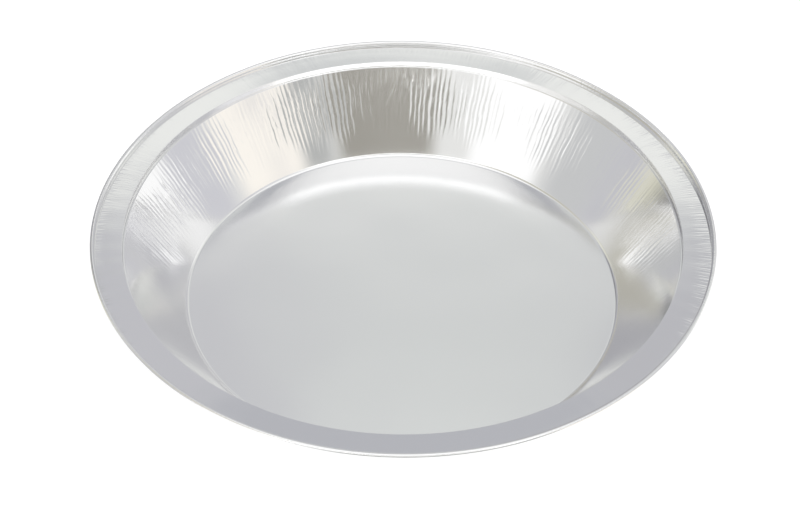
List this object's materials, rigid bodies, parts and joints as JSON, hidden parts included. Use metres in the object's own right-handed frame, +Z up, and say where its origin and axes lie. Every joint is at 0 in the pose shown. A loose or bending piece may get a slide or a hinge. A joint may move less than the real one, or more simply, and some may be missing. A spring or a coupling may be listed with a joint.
{
  "type": "foil pie tin",
  "caption": "Round shallow foil dish for baking or carrying a pie, with a flat base, a leaning wrinkled wall, a short step, a flat flange and a curled edge.",
  "frame": {"origin": "middle of the underside of the flat base", "axes": "+Z up, square to the base, along the axis of the round dish"},
  "size_m": [0.244, 0.244, 0.0368],
  "materials": {
    "foil": "bright rolled aluminium foil, smooth on the base and finely wrinkled up the wall"
  },
  "bodies": {
    "root": {"pie_tin": "foil"}
  },
  "joints": []
}
